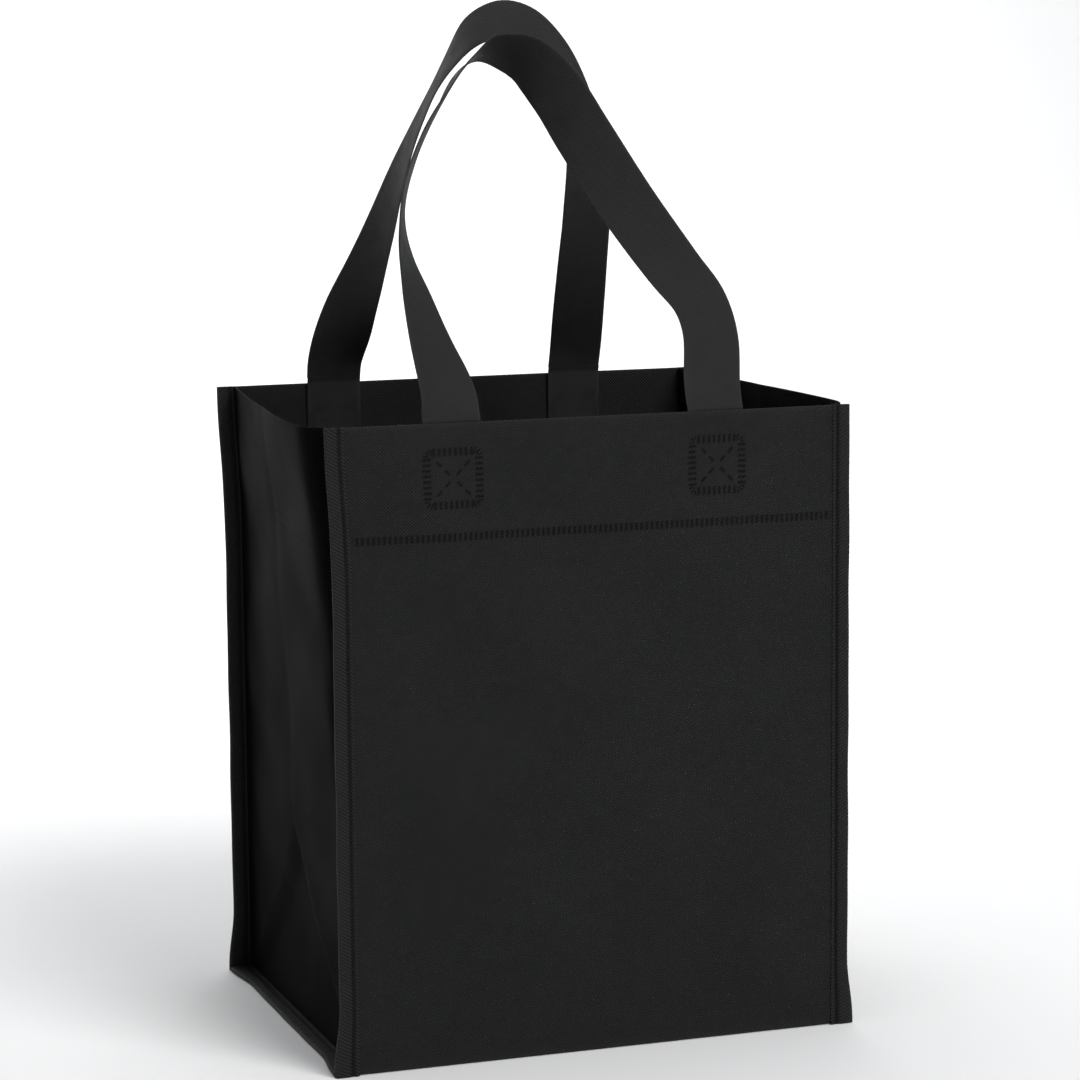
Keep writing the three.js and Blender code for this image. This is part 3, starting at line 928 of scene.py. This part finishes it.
def spline(points):
    """Centripetal Catmull-Rom through points, with each sample's place as a number of points."""
    ends = [2 * points[0] - points[1], 2 * points[-1] - points[-2]]
    knots = np.concatenate([ends[:1], points, ends[1:]])
    samples, places = [], []
    for i in range(len(points) - 1):
        a, b, c, d = knots[i:i + 4]
        ta, tb, tc = (math.sqrt(np.linalg.norm(q - p)) for p, q in ((a, b), (b, c), (c, d)))
        start = ((b - a) / ta - (c - a) / (ta + tb) + (c - b) / tb) * tb
        stop = ((c - b) / tb - (d - b) / (tb + tc) + (d - c) / tc) * tb
        t = np.linspace(0, 1, 40, endpoint=False)[:, None]
        curve = b + start * t + (3 * (c - b) - 2 * start - stop) * t ** 2
        curve = curve + (2 * (b - c) + start + stop) * t ** 3
        samples.append(curve)
        places.append(i + t[:, 0])
    return np.concatenate([*samples, points[-1:]]), np.concatenate([*places, [len(points) - 1]])


class StrapRoute:
    """A strap's middle line with its face and width at each distance along it."""

    def __init__(self, end_name, end):
        rows = np.array(ROUTES[end_name])
        middle = np.stack([rows[:, 0], end * (HALF_DEPTH - rows[:, 1]), rows[:, 2]], axis=1)
        self.line, self.place = spline(middle)
        self.run = distance_along(*self.line.T)
        self.length = self.run[-1]
        self.turns = np.radians(rows[:, 3])
        lean = LEAN[end_name]
        self.facing = np.array([0, -math.cos(lean), -end * math.sin(lean)])
        self.end = end

    def frame(self, distance):
        """The strap's middle, its face's normal and the direction across it, at each distance."""
        def at(values):
            return np.interp(distance, self.run, values)

        middle = np.stack([at(self.line[:, i]) for i in range(3)], axis=-1)
        slope = np.gradient(self.line, self.run, axis=0)
        tangent = unit(np.stack([at(slope[:, i]) for i in range(3)], axis=-1))
        face = unit(self.facing - tangent * (tangent @ self.facing)[:, None])
        inward = np.cross(tangent, face) * -self.end
        turn = np.interp(at(self.place), np.arange(len(self.turns)), self.turns)
        turn = np.convolve(np.pad(turn, 6, mode="edge"), np.ones(13) / 13, mode="valid")[:, None]
        normal = face * np.cos(turn) + inward * np.sin(turn)
        across = np.cross(normal, tangent)
        return middle, normal, across


def strap_section():
    """Across the strap: places from edge to edge, and its thickness at each."""
    place = np.sin(np.linspace(-1, 1, 15) * math.pi / 2)
    thickness = STRAP * (0.35 + 0.65 * np.clip((1 - np.abs(place)) / 0.05, 0, 1) ** 0.5)
    thickness = thickness * (1 + 0.12 * np.exp(-((np.abs(place) - 0.86) / 0.07) ** 2))
    return place * STRAP_WIDTH / 2, thickness


def strap_band(middle, normal, across, start, press=None):
    """The strap's surface along its middle line, slightly cupped, and its thickness across."""
    place, thickness = strap_section()
    run = start + distance_along(*middle.T)
    cup = 0.0009 * (place / place.max()) ** 2 * np.sin(run * 17)[:, None]
    ripple = 0.0003 * np.sin(run * 61)[:, None] * (place / place.max())
    points = middle[:, None, :] + across[:, None, :] * place[None, :, None]
    points = points + normal[:, None, :] * (cup + ripple)[..., None]
    wear = np.exp(-(place.max() - np.abs(place)) / 0.0009)[None, :] * np.ones((len(run), 1)) * 0.8
    return Band(points, place[None, :], run[:, None], press, wear), thickness


def make_handle(end_name, end):
    """A strap: two welded ends that bend at the mouth, and the loop between them."""
    route = StrapRoute(end_name, end)
    place = strap_section()[0]
    for side_name, x in (("left", STRAP_LEFT_X), ("right", STRAP_RIGHT_X)):
        rise = steps(STRAP_END_BOTTOM, HEIGHT, STRAP_END_STEP)
        still = np.stack([
            np.full(len(rise), x), np.full(len(rise), end * (HALF_DEPTH - STRAP_DEPTH)), rise,
        ], axis=1)
        distance = np.linspace(0.0, STRAP_JOIN, 4)
        if side_name == "right":
            distance = route.length - distance
        over = route.frame(distance)[0]
        normal = np.tile(np.array([0.0, -1.0, 0.0]), (len(still) + len(over), 1))
        across = np.tile(np.array([1.0, 0.0, 0.0]), (len(still) + len(over), 1))
        middle = np.concatenate([still, over])
        press = stamp(place[None, :], middle[:, 2:3] - STAMP_HEIGHT) * 0.5
        band, thickness = strap_band(middle, normal, across, 0.0, press)
        name = f"strap_{end_name}_{side_name}_root"
        root = sheet_mesh(name, [band], thickness, STRAP_CLOTH, (0, -end, 0))
        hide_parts(f"strap_{end_name}_{side_name}_end")
        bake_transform(root)
    start = STRAP_JOIN - STRAP_OVERLAP
    distance = steps(start, route.length - start, STRAP_STEP)
    middle, normal, across = route.frame(distance)
    band, thickness = strap_band(middle, normal, across, STRAP_JOIN)
    loop = sheet_mesh(f"strap_{end_name}_loop", [band], thickness, STRAP_CLOTH, (0, -1, 0))
    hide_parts(f"handle_{end_name}", f"strap_{end_name}_left_foot", f"strap_{end_name}_right_foot")
    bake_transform(loop)


# ---------------------------------------------------------------- camera, light and floor

# The camera that the photograph was taken with, worked out from the bag's corners
CAMERA_PLACE = Vector((-0.6905, -2.0269, 0.6054))
CAMERA_HEADING = math.radians(19.02)
CAMERA_PITCH = math.radians(8.36)
CAMERA_ROLL = math.radians(-0.5)
CAMERA_LENS = 116.42

# Each light's place, width, power and what it points at
LIGHTS = {
    "key": ((0.9, -2.3, 2.5), 1.8, 80, (0, 0, 0.25)),
    "fill": ((-2.6, -1.6, 1.1), 2.0, 2, (0, 0, 0.25)),
    "top": ((-0.2, 0.4, 2.7), 2.2, 12, (0, 0, 0.25)),
    "wall": ((0, 1.6, 3.4), 2.4, 175, (0, 5, 1.4)),
}
WORLD_STRENGTH = 0.32


def make_camera():
    camera = bpy.data.cameras.new("camera")
    camera.lens = CAMERA_LENS
    camera.sensor_width = 36
    camera.clip_end = 100
    ahead = Vector((
        math.sin(CAMERA_HEADING) * math.cos(CAMERA_PITCH),
        math.cos(CAMERA_HEADING) * math.cos(CAMERA_PITCH),
        -math.sin(CAMERA_PITCH),
    ))
    right = Vector((math.cos(CAMERA_HEADING), -math.sin(CAMERA_HEADING), 0))
    up = right.cross(ahead)
    rolled_right = right * math.cos(CAMERA_ROLL) + up * math.sin(CAMERA_ROLL)
    rolled_up = up * math.cos(CAMERA_ROLL) - right * math.sin(CAMERA_ROLL)
    turn = Matrix((rolled_right, rolled_up, -ahead)).transposed()
    seen = bpy.data.objects.new("camera", camera)
    seen.matrix_world = Matrix.Translation(CAMERA_PLACE) @ turn.to_4x4()
    bpy.context.scene.collection.objects.link(seen)
    bpy.context.scene.camera = seen


def make_light(name, place, size, power, target):
    light = bpy.data.lights.new(name, "AREA")
    light.shape = "DISK"
    light.size = size
    light.energy = power
    lamp = bpy.data.objects.new(name, light)
    lamp.location = place
    lamp.rotation_euler = (Vector(target) - Vector(place)).to_track_quat("-Z", "Y").to_euler()
    bpy.context.scene.collection.objects.link(lamp)


def make_studio():
    """A pale floor that curves up into a wall, soft light from the front and above, and the world."""
    paint = Shader("studio_floor", roughness=0.9, specular=0.1)
    shade = paint.noise(0.9, detail=2)
    paint.set("Base Color", paint.tint(shade, grey(0.88), grey(0.92)))
    turn = np.linspace(0, math.pi / 2, 24)
    y = np.concatenate([[-6, -2, 0, 2], 3 + 2 * np.sin(turn), [5.0]])
    z = np.concatenate([[0, 0, 0, 0], 2 * (1 - np.cos(turn)), [7.0]]) - 0.0001
    x = np.linspace(-8, 8, 9)
    points = np.stack(np.broadcast_arrays(x[None, :], y[:, None], z[:, None]), axis=-1)
    along = np.cumsum(np.hypot(np.gradient(y), np.gradient(z)))
    uv = np.stack(np.broadcast_arrays(x[None, :], along[:, None]), axis=-1).reshape(-1, 2)
    faces = grid_faces(0, len(y), len(x))
    floor = finish_mesh("floor", points.reshape(-1, 3), faces, uv, {}, paint.material)
    world = bpy.data.worlds.new("studio")
    world.use_nodes = True
    world.node_tree.nodes["Background"].inputs[0].default_value = (0.95, 0.97, 1, 1)
    world.node_tree.nodes["Background"].inputs[1].default_value = WORLD_STRENGTH
    bpy.context.scene.world = world
    for name, light in LIGHTS.items():
        make_light(name, *light)


make_camera()
make_studio()
for end_name, end in ENDS.items():
    make_strip(end_name, end)
    make_handle(end_name, end)
for side_name, side in SIDES.items():
    for half_name, half in HALVES.items():
        make_side_half(side_name, side, half_name, half)
        make_tuck(side_name, side, half_name, half)
        make_base_edge(side_name, side, half_name, half)
    for end_name, end in ENDS.items():
        make_corner(side_name, side, end_name, end)
for half_name, half in HALVES.items():
    make_board(half_name, half)

bpy.context.scene.view_settings.view_transform = "Standard"
